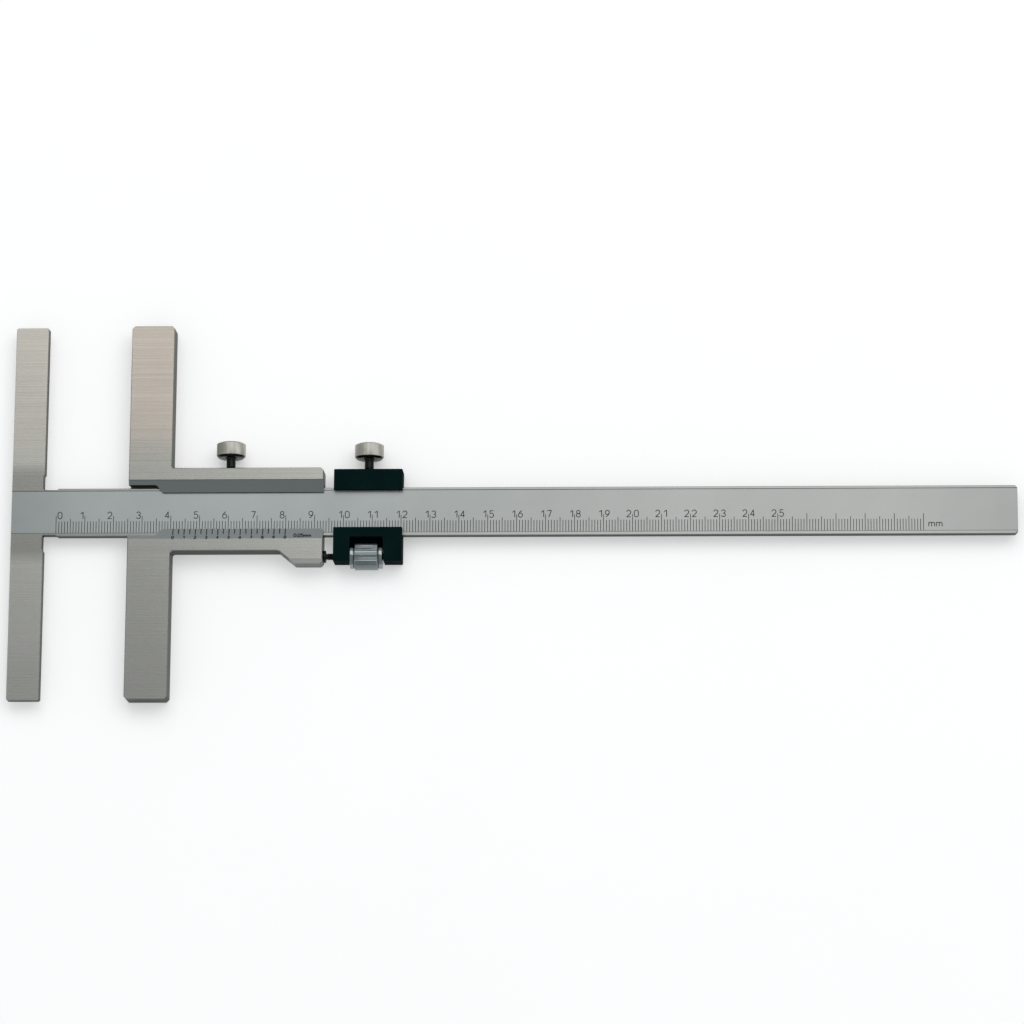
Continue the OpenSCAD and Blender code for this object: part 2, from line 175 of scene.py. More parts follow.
class Net:
    """Places nodes in a tree and joins them."""

    def __init__(self, tree):
        self.tree = tree
        self.placed = 0

    def feed(self, taker, value):
        """Gives an input the output of another node, or a value of its own."""
        if isinstance(value, bpy.types.NodeSocket):
            self.tree.links.new(value, taker)
        else:
            taker.default_value = value

    def add(self, kind, settings=None, **inputs):
        """A node of that kind. An input is given by its name, or as i0, i1 by its place."""
        made = self.tree.nodes.new(kind)
        made.location = (220 * (self.placed % 12), -260 * (self.placed // 12))
        self.placed += 1
        for key, value in (settings or {}).items():
            setattr(made, key, value)
        for key, value in inputs.items():
            by_place = key[0] == "i" and key[1:].isdigit()
            self.feed(made.inputs[int(key[1:]) if by_place else key.replace("_", " ")], value)
        return made

    def value(self, kind, settings=None, **inputs):
        """The first output of a new node."""
        return self.add(kind, settings, **inputs).outputs[0]

    def calc(self, what, first, second=0.0, third=0.0):
        """The result of one arithmetic step."""
        kind = "ShaderNodeMath"
        return self.value(kind, {"operation": what}, i0=first, i1=second, i2=third)

    def times(self, first, second):
        return self.calc("MULTIPLY", first, second)

    def scale(self, vector, factor):
        """A vector or a colour times a number."""
        kind = "ShaderNodeVectorMath"
        return self.value(kind, {"operation": "SCALE"}, i0=vector, Scale=factor)

    def mix(self, share, first, second):
        """Two numbers mixed by a share between 0 and 1."""
        return self.value("ShaderNodeMix", i0=share, i2=first, i3=second)

    def blend(self, share, first, second):
        """Two colours mixed by a share between 0 and 1."""
        made = self.add("ShaderNodeMix", {"data_type": "RGBA"}, i0=share, i6=first, i7=second)
        return made.outputs[2]

    def cover(self, base, mask, most, over):
        """A colour with another one over it, which hides at most that share of it."""
        return self.blend(self.times(mask, most), base, over)

    def span(self, value, low, high, to_low=0.0, to_high=1.0):
        """A value carried from one range to another, and held inside it."""
        return self.value("ShaderNodeMapRange", i0=value, i1=low, i2=high, i3=to_low, i4=to_high)


MADE = {}


def once(maker):
    """What the maker makes, made when it is first needed and then shared."""
    if maker not in MADE:
        MADE[maker] = maker()
    return MADE[maker]


SOCKET_KINDS = {int: "Int", float: "Float", type(None): "Vector"}


def socket(tree, name, kind, default=None, out=False):
    made = tree.interface.new_socket(
        name=name, in_out="OUTPUT" if out else "INPUT", socket_type="NodeSocket" + kind
    )
    if default is not None:
        made.default_value = default


def add_inputs(tree, defaults):
    """Gives a tree its inputs. One whose default is None is a vector."""
    for label, default in defaults.items():
        socket(tree, label, SOCKET_KINDS[type(default)], default)


def shader_group(name, inputs, outputs):
    """An empty shader node group. Its outputs are numbers."""
    tree = bpy.data.node_groups.new(name, "ShaderNodeTree")
    add_inputs(tree, inputs)
    for label in outputs:
        socket(tree, label, "Float", out=True)
    net = Net(tree)
    return net, net.add("NodeGroupInput").outputs, net.add("NodeGroupOutput").inputs


def group(net, maker, **inputs):
    """The outputs of a shared group, placed in the net."""
    return net.add("ShaderNodeGroup", {"node_tree": once(maker)}, **inputs).outputs


def grinding():
    """Lines that a grinding wheel leaves along X, as fine height and as broad changes of tone."""
    net, given, out = shader_group(
        "Grinding lines",
        {"Vector": None, "Line Width": 0.0002, "Line Length": 0.02, "Seed": 0.0},
        ["Height", "Tone"],
    )
    line = net.value("ShaderNodeCombineXYZ", i0=given["Line Length"], i1=given["Line Width"],
                     i2=given["Line Width"])
    place = net.value("ShaderNodeVectorMath", {"operation": "DIVIDE"}, i0=given["Vector"], i1=line)

    def noise(at, detail, roughness):
        return net.value("ShaderNodeTexNoise", {"noise_dimensions": "4D"}, Vector=at,
                         W=given["Seed"], Scale=1.0, Detail=detail, Roughness=roughness)

    fine = noise(place, 3.0, 0.6)
    broad = noise(net.scale(place, 0.16), 2.0, 0.55)
    both = net.calc("MULTIPLY_ADD", fine, 0.8, net.times(broad, 0.2))
    net.feed(out["Height"], fine)
    net.feed(out["Tone"], net.span(both, 0.32, 0.68))
    return net.tree


def worn_edges():
    """1 on an edge and 0 on a face, broken up as handling breaks up a finish. It lightens edges as
    wear and as a painted highlight.
    """
    net, given, out = shader_group(
        "Worn edges", {"Radius": 0.0003, "Break Up": 0.5, "Vector": None}, ["Mask"]
    )
    rounded = net.value("ShaderNodeBevel", {"samples": 6}, Radius=given["Radius"])
    flat = net.add("ShaderNodeNewGeometry").outputs["True Normal"]
    meet = net.add("ShaderNodeVectorMath", {"operation": "DOT_PRODUCT"}, i0=rounded, i1=flat)
    edge = net.span(meet.outputs["Value"], 0.995, 0.86)
    patches = net.value("ShaderNodeTexNoise", Vector=given["Vector"], Scale=420.0, Detail=4.0)
    kept = net.span(patches, 0.35, 0.62)
    net.feed(out["Mask"], net.times(edge, net.mix(given["Break Up"], 1.0, kept)))
    return net.tree


def between():
    """1 where a value lies between two limits."""
    net, given, out = shader_group("Between", {"Value": 0.0, "Low": 0.0, "High": 1.0}, ["Mask"])
    over = net.calc("GREATER_THAN", given["Value"], given["Low"])
    under = net.calc("LESS_THAN", given["Value"], given["High"])
    net.feed(out["Mask"], net.times(over, under))
    return net.tree


def handling():
    """Faint stains and cloudy patches that handling and oil leave on a metal face."""
    net, given, out = shader_group(
        "Handling marks", {"Vector": None, "Scale": 30.0}, ["Cloud", "Specks"]
    )
    cloud = net.value("ShaderNodeTexNoise", Vector=given["Vector"], Scale=given["Scale"],
                      Detail=5.0, Roughness=0.62)
    dots = net.value("ShaderNodeTexNoise", Vector=given["Vector"],
                     Scale=net.times(given["Scale"], 22.0), Detail=2.0)
    net.feed(out["Cloud"], net.span(cloud, 0.3, 0.7))
    net.feed(out["Specks"], net.span(dots, 0.7, 0.78))
    return net.tree


# Materials

# Colours of worn edges with a painted highlight, of painted shade in corners and in the grooves of
# a knurl, and of specks, and the painted shade in what upright faces reflect at a grazing angle.
EDGE_WEAR_HIGHLIGHT = (0.6, 0.6, 0.58, 1.0)
CORNER_SHADE = (0.05, 0.055, 0.052, 1.0)
GROOVE_SHADE = (0.045, 0.047, 0.045, 1.0)
SPECKS = (0.2, 0.19, 0.17, 1.0)
SIDE_SHADE_GLANCE = (0.3, 0.31, 0.31, 1.0)


def new_material(name, **constants):
    """A material with one Principled shader. Constants go on its own sockets."""
    made = bpy.data.materials.new(name)
    made.use_nodes = True
    made.node_tree.nodes.clear()
    net = Net(made.node_tree)
    shader = net.add("ShaderNodeBsdfPrincipled", **constants)
    net.add("ShaderNodeOutputMaterial", i0=shader.outputs[0])
    return made, net, shader.inputs, net.add("ShaderNodeTexCoord").outputs["Object"]


def finish_with(net, shader, base, roughness, height, depth):
    """Joins colour, roughness and a bump of that depth to the shader."""
    net.feed(shader["Base Color"], base)
    net.feed(shader["Roughness"], roughness)
    bump = net.value("ShaderNodeBump", Strength=1.0, Distance=depth, Height=height)
    net.feed(shader["Normal"], bump)


def shade(paint, factor=1.0):
    """One of the colours in the settings, darker or lighter by a factor."""
    colour_value = getattr(bpy.context.scene.caliper_finish, paint)
    return tuple(min(1.0, part * factor) for part in colour_value) + (1.0,)


def shades(net, share, paint, dark, light):
    """One of the colours in the settings, between a darker and a lighter shade."""
    return net.blend(share, shade(paint, dark), shade(paint, light))


def side_mask(net):
    """1 on faces that stand upright on the scale face, 0 on faces that lie along it."""
    normal = net.add("ShaderNodeTexCoord").outputs["Normal"]
    up = net.add("ShaderNodeSeparateXYZ", i0=normal).outputs["Z"]
    return net.span(net.calc("ABSOLUTE", up), 0.35, 0.1)


def steel_with_scale_faces(name, zones, corner_shade_lines, painted_shading, tan):
    """Ground steel with matte chrome zones, and painted shade in thin lines in the corners and on
    upright faces.

    zones makes the chrome zones from the place, each as (lowest Y, highest Y, lowest Z,
    lowest X, painted shading, warmth). Each of corner_shade_lines, a line of painted shade in a
    corner, has the first four. painted_shading makes the painted light and shade of the ground
    faces, and the painted shade in what their sides reflect at a grazing angle. tan is the most
    that the upper arm takes of the warm colour of its painted reflection.
    """
    made, net, shader, place = new_material(name, Metallic=1.0)
    at = net.add("ShaderNodeSeparateXYZ", i0=place).outputs
    lines = group(net, grinding, Vector=place, Line_Width=0.22 * MM, Line_Length=90 * MM)
    marks = group(net, handling, Vector=place, Scale=26.0)
    wear_and_glint = group(net, worn_edges, Vector=place, Radius=0.22 * MM, Break_Up=0.45)

    def inside(low, high, over, start):
        across = group(net, between, Value=at["Y"], Low=low, High=high)["Mask"]
        within = net.times(across, net.calc("GREATER_THAN", at["Z"], over))
        return net.times(within, net.calc("GREATER_THAN", at["X"], start))

    chromed, chrome_shading, warmth, shaded_corners = 0.0, 0.0, 0.0, 0.0
    # Each zone scales the chrome by a painted shading factor.
    for *limits, zone_shading, zone_warmth in zones(net, at):
        zone = inside(*limits)
        chromed = net.calc("MAXIMUM", zone, chromed)
        chrome_shading = net.calc("MULTIPLY_ADD", zone, zone_shading, chrome_shading)
        warmth = net.calc("MULTIPLY_ADD", zone, zone_warmth, warmth)
    for limits in corner_shade_lines:
        shaded_corners = net.calc("MAXIMUM", inside(*limits), shaded_corners)
    # Painted shade: the chrome darkens toward the fixed jaw. It also darkens toward the free end.
    painted_shade_by_jaw = net.span(at["X"], BEAM_LOW.x, BEAM_LOW.x + 22 * MM, 0.81, 1.0)
    by_end = net.span(at["X"], BEAM_HIGH.x - 42 * MM, BEAM_HIGH.x - 6 * MM, 1.0, 0.87)
    aging = net.span(at["X"], BEAM_LOW.x + 110 * MM, BEAM_LOW.x + 190 * MM, 0.0, 0.8)

    # Painted reflection: the ground faces turn warmer toward the upper arm.
    plain = shades(net, lines["Tone"], "ground", 0.9, 1.1)
    tanned = shades(net, lines["Tone"], "tanned", 0.9, 1.1)
    ground = net.blend(net.span(at["Y"], 16 * MM, 32 * MM, 0.0, tan), plain, tanned)
    # Painted shade and light on the ground faces.
    painted_shading_factor, glance = painted_shading(net, at)
    ground = net.scale(ground, painted_shading_factor)
    ground = net.cover(ground, marks["Cloud"], 0.13, shade("ground", 0.45))
    chrome = shades(net, marks["Cloud"], "chrome", 0.96, 1.03)
    chrome = net.blend(net.calc("MAXIMUM", warmth, aging), chrome, shade("aged"))
    chrome = net.scale(chrome, net.times(chrome_shading, net.times(painted_shade_by_jaw, by_end)))

    # Painted shade: upright faces get a darker colour and a darker tint in what they reflect at a
    # grazing angle.
    side = side_mask(net)
    base = net.blend(chromed, ground, chrome)
    base = net.blend(side, base, shade("ground", 0.68))
    # Wear and a painted highlight make the edges lighter.
    base = net.cover(base, wear_and_glint["Mask"], 0.35, EDGE_WEAR_HIGHLIGHT)
    # Painted shade: thin dark lines in the corners.
    base = net.cover(base, shaded_corners, 0.92, CORNER_SHADE)
    base = net.cover(base, marks["Specks"], 0.12, SPECKS)
    net.feed(shader["Specular Tint"], net.blend(side, (1.0, 1.0, 1.0, 1.0), glance))
    satin = net.mix(lines["Tone"], 0.29, 0.22)
    matte = net.mix(marks["Cloud"], 0.42, 0.36)
    height = net.times(lines["Height"], net.mix(chromed, 1.0, 0.15))
    finish_with(net, shader, base, net.mix(chromed, satin, matte), height, 0.006 * MM)
    return made


def beam_zones(net, at):
    """The sunk scale face, and the narrow lands on both sides of it from the jaw on."""
    start, shaded, open_air = (BEAM_LOW.x + along * MM for along in (11.8, 36, 100))
    # Painted shade: the lands are darker near the jaw, the lower land more so.
    low = net.span(at["X"], shaded, open_air, 0.76, 1.06)
    high = net.span(at["X"], shaded, open_air, 0.9, 1.06)
    return [(SUNK_LOW, SUNK_HIGH, SUNK_Z - SHADE_LINE_HALF_WIDTH, PAST_JAW, 1.0, 0.0),
            (-PAST_BEAM, SUNK_LOW, SUNK_Z, start, low, 1.0),
            (SUNK_HIGH, PAST_BEAM, SUNK_Z, start, high, 1.0)]


def dull_beside_beam(net, at):
    """Painted shade: the fixed jaw's faces are darker beside the beam and a little at the lower
    tip, and lighter farther from the beam.
    """
    low = net.span(at["Y"], -58 * MM, -45 * MM, 0.93, 1.0)
    beside = net.span(net.calc("ABSOLUTE", at["Y"]), 13.5 * MM, 18.5 * MM, 0.7, 1.08)
    return net.times(low, beside), SIDE_SHADE_GLANCE


def beam_steel():
    """The beam's steel, with lines of painted shade along both edges of the sunk scale face."""
    corner_shade_lines = [(edge - SHADE_LINE_HALF_WIDTH, edge + SHADE_LINE_HALF_WIDTH, SUNK_Z - SHADE_LINE_HALF_WIDTH, PAST_JAW)
             for edge in (SUNK_LOW, SUNK_HIGH)]
    return steel_with_scale_faces("Ground steel beam", beam_zones, corner_shade_lines, dull_beside_beam, 0.5)


def slider_zones(net, at):
    """The bevels along the window, darker as painted shade."""
    return [(BEVEL_LOW, LIP_LOW, LIP_Z - SHADE_LINE_HALF_WIDTH, PAST_JAW, 0.74, 0.0),
            (LIP_HIGH, BEVEL_HIGH, LIP_Z - SHADE_LINE_HALF_WIDTH, PAST_JAW, 0.72, 0.0)]


def dull_below_arm(net, at):
    """Painted shade on the slider below its upper arm, and a painted highlight on its boss's lower
    bevel, also in what it reflects at a grazing angle.
    """
    low = net.span(at["X"], SLIDER_LOW.x + 8 * MM, SLIDER_LOW.x + 60 * MM, 0.85, 0.96)
    plain = net.mix(net.span(at["Y"], 19 * MM, 31 * MM), low, 1.0)
    boss = net.times(net.span(at["Y"], -17.1 * MM, -16.8 * MM, 1.0, 0.0),
                     net.calc("GREATER_THAN", at["X"], SLIDER_LOW.x + 40 * MM))
    # Painted highlight on the boss's lower bevel, lightest toward the scale face.
    bright = net.times(boss, net.span(at["Z"], 1.5 * MM, 3.5 * MM, 0.4, 1.0))
    return net.mix(boss, plain, 1.55), net.blend(bright, SIDE_SHADE_GLANCE, (0.56, 0.57, 0.58, 1.0))


def slider_steel():
    """The slider's steel, with a line of painted shade along the upper edge of the upper bevel."""
    corner_shade_lines = [(BEVEL_HIGH - SHADE_LINE_HALF_WIDTH, BEVEL_HIGH + SHADE_LINE_HALF_WIDTH, LIP_Z, PAST_JAW)]
    return steel_with_scale_faces("Ground steel slider", slider_zones, corner_shade_lines, dull_below_arm, 1.0)


def plate(name, paint, smooth, grazing):
    """Satin plate of that colour and lowest roughness, with painted shade in the grooves of the
    knurl and other narrow hollows.
    """
    made, net, shader, place = new_material(
        name, Metallic=1.0, Specular_Tint=(grazing, grazing, grazing, 1.0)
    )
    marks = group(net, handling, Vector=place, Scale=160.0)
    deep = net.add("ShaderNodeAmbientOcclusion", {"samples": 6, "only_local": True},
                   Distance=0.5 * MM).outputs["AO"]
    base = shades(net, marks["Cloud"], paint, 0.93, 1.05)
    # Painted shade: the grooves darken where the occlusion is deep.
    base = net.blend(net.span(deep, 0.92, 0.5, 0.0, 0.8), base, GROOVE_SHADE)
    base = net.cover(base, marks["Specks"], 0.2, SPECKS)
    roughness = net.mix(marks["Cloud"], smooth, smooth + 0.08)
    finish_with(net, shader, base, roughness, marks["Cloud"], 0.003 * MM)
    return made


def plated_steel():
    """Satin plate of the screws' heads."""
    return plate("Plated steel", "plated", 0.26, 0.45)


def bright_nickel():
    """Smoother plate of the adjusting nut."""
    return plate("Bright nickel", "nickel", 0.08, 0.9)


def dark_steel():
    """Oiled, darkened steel of the spindle and the set screws. On the thumb screws it darkens
    everything under the knurl, the necks and the undersides of the heads among them, as painted
    shade.
    """
    made, net, shader, place = new_material("Dark steel", Metallic=1.0)
    marks = group(net, handling, Vector=place, Scale=240.0)
    wear_and_glint = group(net, worn_edges, Vector=place, Radius=0.12 * MM, Break_Up=0.6)
    base = shades(net, marks["Cloud"], "dark", 0.7, 1.3)
    # Wear and a painted highlight make the edges lighter.
    base = net.cover(base, wear_and_glint["Mask"], 0.5, (0.4, 0.4, 0.38, 1.0))
    roughness = net.mix(marks["Cloud"], 0.24, 0.38)
    finish_with(net, shader, base, roughness, marks["Cloud"], 0.004 * MM)
    return made


def blackened_steel():
    """Blackened clamp: nearly black with a green-blue cast, a little lighter on its edges from wear
    and a painted highlight, and darker on its upright faces as painted shade.
    """
    made, net, shader, place = new_material(
        "Blackened steel", Metallic=0.0, Specular_IOR_Level=0.005,
        Specular_Tint=(0.35, 0.9, 1.0, 1.0),
    )
    lines = group(net, grinding, Vector=place, Line_Width=0.18 * MM, Line_Length=6 * MM, Seed=3.0)
    marks = group(net, handling, Vector=place, Scale=90.0)
    wear_and_glint = group(net, worn_edges, Vector=place, Radius=0.2 * MM, Break_Up=0.8)
    base = shades(net, marks["Cloud"], "black", 0.75, 1.4)
    base = net.cover(base, lines["Tone"], 0.25, shade("black", 2.0))
    # Wear and a painted highlight make the edges lighter.
    base = net.cover(base, wear_and_glint["Mask"], 0.3, (0.05, 0.065, 0.065, 1.0))
    # Painted shade: the clamp's upright faces are darker.
    base = net.cover(base, side_mask(net), 0.6, (0.0, 0.001, 0.001, 1.0))
    roughness = net.mix(marks["Cloud"], 0.48, 0.6)
    finish_with(net, shader, base, roughness, lines["Height"], 0.01 * MM)
    return made


def rolled_bronze():
    """Rolled strip with lines along its length."""
    made, net, shader, place = new_material("Rolled bronze", Metallic=1.0)
    lines = group(net, grinding, Vector=place, Line_Width=0.12 * MM, Line_Length=20 * MM, Seed=7.0)
    base = shades(net, lines["Tone"], "bronze", 0.75, 1.1)
    roughness = net.mix(lines["Tone"], 0.38, 0.26)
    finish_with(net, shader, base, roughness, lines["Height"], 0.01 * MM)
    return made


def dark_filling():
    """Dark filling of the engraved lines, thin in places."""
    made, net, shader, place = new_material("Dark filling", Metallic=0.0, Specular_IOR_Level=0.3)
    wear = net.value("ShaderNodeTexNoise", Vector=place, Scale=900.0, Detail=3.0)
    base = shades(net, net.span(wear, 0.35, 0.75), "enamel", 0.8, 1.7)
    roughness = net.span(wear, 0.3, 0.7, 0.45, 0.6)
    finish_with(net, shader, base, roughness, wear, 0.003 * MM)
    return made


def repaint(node, maker):
    """Gives a CAD node one of the caliper's materials."""
    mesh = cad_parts[node].data
    mesh.materials.clear()
    mesh.materials.append(once(maker))


# Geometry trees


def geometry_tree(name, inputs):
    """An empty geometry tree with named inputs, the last of them the finish."""
    tree = bpy.data.node_groups.new(name, "GeometryNodeTree")
    socket(tree, "Geometry", "Geometry")
    add_inputs(tree, inputs)
    socket(tree, "Finish", "Material")
    socket(tree, "Geometry", "Geometry", out=True)
    net = Net(tree)
    return net, net.add("NodeGroupInput").outputs


def close_tree(net, given, shape):
    """Ends a geometry tree with real, finished geometry, and gives the tree back."""
    real = net.value("GeometryNodeRealizeInstances", Geometry=shape)
    made = net.value("GeometryNodeSetMaterial", Geometry=real, Material=given["Finish"])
    net.add("NodeGroupOutput", i0=made)
    return net.tree


def graduation_tree():
    """A row of lines along X. Every long and every middle one stands out from the short ones."""
    net, given = geometry_tree(
        "Graduation",
        {"Lines": 301, "Spacing": MM, "Width": 0.00015, "Relief": 0.00001, "Short": 0.004,
         "Middle": 0.005, "Long": 0.006, "Middle Every": 5, "Long Every": 10, "Hang": 0.0},
    )
    step = net.value("ShaderNodeCombineXYZ", i0=given["Spacing"])
    row = net.value("GeometryNodeMeshLine", Count=given["Lines"], Offset=step)
    block = net.value("GeometryNodeMeshCube")
    shift = net.value("ShaderNodeCombineXYZ", i1=net.calc("SUBTRACT", 0.5, given["Hang"]))
    foot = net.value("GeometryNodeTransform", Geometry=block, Translation=shift)
    index = net.value("GeometryNodeInputIndex")

    def every(count, special, plain):
        """The special length on every line of that count, and the plain one on the others."""
        rest = net.calc("MODULO", index, count)
        return net.mix(net.calc("LESS_THAN", rest, 0.5), plain, special)

    tall = every(given["Middle Every"], given["Middle"], given["Short"])
    tall = every(given["Long Every"], given["Long"], tall)
    size = net.value("ShaderNodeCombineXYZ", i0=given["Width"], i1=tall,
                     i2=net.times(given["Relief"], 2.0))
    lines = net.value("GeometryNodeInstanceOnPoints", Points=row, Instance=foot, Scale=size)
    return close_tree(net, given, lines)


def turned_tree():
    """A turned part about the X axis, from a profile whose X is the axis and Y the radius.

    A straight knurl and a right-hand thread are cut into the stretches that the inputs name.
    The knurl's ridges are pointed at a steepness of 1, and get flat crests above it.
    """
    net, given = geometry_tree(
        "Turned part",
        {"Segments": 64, "Rows": 10, "Knurl From": 0.0, "Knurl To": 0.0, "Ridges": 60.0,
         "Knurl Depth": 0.0, "Steepness": 2.0, "Thread From": 0.0, "Thread To": 0.0,
         "Pitch": 0.0005, "Thread Depth": 0.0},
    )
    around = net.calc("ADD", given["Segments"], 1.0)
    grid = net.value("GeometryNodeMeshGrid", i2=around, i3=given["Rows"])
    index = net.value("GeometryNodeInputIndex")
    column = net.calc("FLOOR", net.calc("DIVIDE", net.calc("ADD", index, 0.25), given["Rows"]))
    row = net.calc("SUBTRACT", index, net.times(column, given["Rows"]))
    turn = net.calc("DIVIDE", column, given["Segments"])
    spot = net.value("GeometryNodeSampleIndex", {"data_type": "FLOAT_VECTOR"},
                     i0=given["Geometry"], i1=net.value("GeometryNodeInputPosition"),
                     i2=net.calc("ROUND", row))
    spot = net.add("ShaderNodeSeparateXYZ", i0=spot).outputs
    along, radius = spot["X"], spot["Y"]

    def stretch(low, high, fade):
        """1 between the two ends, falling to 0 over the fade."""
        rise = net.calc("DIVIDE", net.calc("SUBTRACT", along, low), fade)
        fall = net.calc("DIVIDE", net.calc("SUBTRACT", high, along), fade)
        lower = net.calc("MINIMUM", rise, fall)
        return net.calc("MINIMUM", net.calc("MAXIMUM", lower, 0.0), 1.0)

    def ridge(phase):
        """A pointed wave between 0 in the root and 1 on the crest."""
        part = net.calc("FRACT", phase)
        return net.calc("ABSOLUTE", net.calc("MULTIPLY_ADD", part, 2.0, -1.0))

    crest = net.times(ridge(net.times(turn, given["Ridges"])), given["Steepness"])
    knurl = net.calc("MINIMUM", crest, 1.0)
    cut = net.times(net.calc("SUBTRACT", 1.0, knurl), given["Knurl Depth"])
    cut = net.times(cut, stretch(given["Knurl From"], given["Knurl To"], 0.0001))
    lead = net.calc("SUBTRACT", net.calc("DIVIDE", along, given["Pitch"]), turn)
    groove = net.times(net.calc("SUBTRACT", 1.0, ridge(lead)), given["Thread Depth"])
    groove = net.times(groove, stretch(given["Thread From"], given["Thread To"], 0.0003))
    left = net.calc("SUBTRACT", net.calc("SUBTRACT", radius, cut), groove)
    reach = net.calc("MAXIMUM", left, 0.0)
    angle = net.times(turn, 2 * math.pi)
    place = net.value(
        "ShaderNodeCombineXYZ", i0=along,
        i1=net.times(reach, net.calc("COSINE", angle)),
        i2=net.times(reach, net.calc("SINE", angle)),
    )
    shaped = net.value("GeometryNodeSetPosition", Geometry=grid, Position=place)
    closed = net.value("GeometryNodeMergeByDistance", Geometry=shaped, Distance=0.000002)
    return close_tree(net, given, closed)


def grown_mesh(name, points, tree_maker, finish, inputs):
    """The plain mesh that a geometry tree makes from a row of points."""
    tree = once(tree_maker)
    seed = bpy.data.meshes.new(name + "_seed")
    seed.from_pydata(points, [], [])
    holder = bpy.data.objects.new(name + "_seed", seed)
    bpy.context.scene.collection.objects.link(holder)
    modifier = holder.modifiers.new("Grow", "NODES")
    modifier.node_group = tree
    sockets = {s.name: s.identifier for s in tree.interface.items_tree
               if s.item_type == "SOCKET" and s.in_out == "INPUT"}
    for label, value in inputs.items():
        modifier[sockets[label]] = value
    modifier[sockets["Finish"]] = finish
    depsgraph = bpy.context.evaluated_depsgraph_get()
    mesh = bpy.data.meshes.new_from_object(holder.evaluated_get(depsgraph))
    holder.modifiers.remove(modifier)
    bpy.data.objects.remove(holder)
    bpy.data.meshes.remove(seed)
    mesh.name = name
    return mesh


# Pieces


def face_outwards(mesh):
    """Turns the faces of a closed mesh outwards and marks its sharp edges."""
    work = bmesh.new()
    work.from_mesh(mesh)
    bmesh.ops.dissolve_degenerate(work, dist=1e-7, edges=work.edges)
    bmesh.ops.recalc_face_normals(work, faces=work.faces)
    for face in work.faces:
        face.smooth = True
    work.to_mesh(mesh)
    work.free()
    mesh.set_sharp_from_angle(angle=math.radians(34))


def piece(name, mesh, body):
    """A finished piece at the origin that rides on a body."""
    made = bpy.data.objects.new(name, mesh)
    bpy.context.scene.collection.objects.link(made)
    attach(made, body)
    return made


def turned_piece(name, node, body, profile, place, segments, cuts, finish=plated_steel,
                 dark_until=0.0):
    """A turned piece that stands for a CAD node, with the given cuts of knurl and thread.

    Everything whose place along the axis is under dark_until gets the dark finish.
    """
    mesh = grown_mesh(
        name, [(along, radius, 0.0) for along, radius in profile], turned_tree,
        once(finish), {"Segments": segments, "Rows": len(profile), **cuts},
    )
    face_outwards(mesh)
    mesh.materials.clear()
    mesh.materials.append(once(finish))
    mesh.materials.append(once(dark_steel))
    for face in mesh.polygons:
        face.material_index = int(face.center.x < dark_until)
    mesh.transform(place)
    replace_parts(piece(name, mesh, body), node)


def corner(along, radius, toward_along, toward_radius, size, steps=4):
    """Points of a rounded corner. The two signs say which way the corner points."""
    made = []
    for i in range(steps + 1):
        turn = math.pi / 2 * i / steps
        made.append((along - toward_along * size * (1 - math.sin(turn)),
                     radius - toward_radius * size * (1 - math.cos(turn))))
    return made


def evenly(first, last, radius, step):
    """Points from first to last at one radius, at most a step apart."""
    count = max(1, math.ceil(abs(last - first) / step))
    return [(first + (last - first) * i / count, radius) for i in range(count + 1)]


def ridges_round(diameter, pitch):
    return float(4 * round(math.pi * diameter / pitch / 4))


def thumb_screw(name, node, body, seat):
    """A thumb screw that points along Y. seat is the Y of the face that it goes through."""
    turned = bpy.context.scene.caliper_turned
    low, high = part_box(node)
    top, head_r = high.y, (high.x - low.x) / 2
    under = top - 5.4 * MM
    tip_r, tip_end, screw_r, neck_r = 0.8 * MM, low.y + 0.5 * MM, 1.49 * MM, 1.62 * MM
    thread_end = seat + 0.9 * MM
    knurl_low, knurl_high = under + 0.7 * MM, top - 0.5 * MM
    rim, dish = 0.06 * MM, 0.12 * MM
    profile = [(low.y, 0.0), (low.y, tip_r - 0.1 * MM), (low.y + 0.1 * MM, tip_r)]
    profile += [(tip_end, tip_r), (tip_end, screw_r - 0.29 * MM)]
    profile += evenly(tip_end + 0.3 * MM, thread_end, screw_r, turned.screw_pitch / 6)
    profile += [(thread_end + 0.1 * MM, neck_r), (under - 0.35 * MM, neck_r)]
    profile += [(under - 0.3 * MM, neck_r + 0.38 * MM), (under, neck_r + 0.48 * MM)]
    profile += [(under, head_r - 0.8 * MM), (under + 0.05 * MM, head_r - 0.68 * MM)]
    profile += [(knurl_low, head_r - 0.04 * MM), (knurl_low + rim, head_r)]
    profile += [(knurl_high - rim, head_r), (knurl_high, head_r - rim)]
    profile += [(top - 0.05 * MM, head_r - 1.0 * MM), (top, head_r - 1.15 * MM)]
    profile += [(top, head_r - 1.9 * MM), (top - dish, head_r - 2.1 * MM), (top - dish, 0.0)]
    middle = ((low.x + high.x) / 2, 0, MID_Z)
    stand = Matrix.Translation(middle) @ Matrix.Rotation(math.pi / 2, 4, "Z")
    ridges = ridges_round(2 * head_r, turned.knurl_pitch)
    turned_piece(
        name, node, body, profile, stand, int(4 * ridges),
        {"Ridges": ridges, "Knurl Depth": turned.knurl_depth, "Steepness": 1.15,
         "Knurl From": knurl_low, "Knurl To": knurl_high, "Thread From": tip_end + 0.2 * MM,
         "Thread To": thread_end, "Pitch": turned.screw_pitch,
         "Thread Depth": turned.thread_share * turned.screw_pitch},
        # Painted shade: the neck and the underside of the head take the dark finish.
        dark_until=knurl_low - 0.02 * MM,
    )


# Numerals, as the strokes of a round engraving cutter in a field of height 1

# Width that a sign's advance holds after the sign itself.
SIGN_GAP = 0.24


def bow(x, y, wide, high, start, end, steps=16):
    """Points on an ellipse, from one angle to another in degrees."""
    made = []
    for i in range(steps + 1):
        turn = math.radians(start + (end - start) * i / steps)
        made.append((x + wide * math.cos(turn), y + high * math.sin(turn)))
    return made


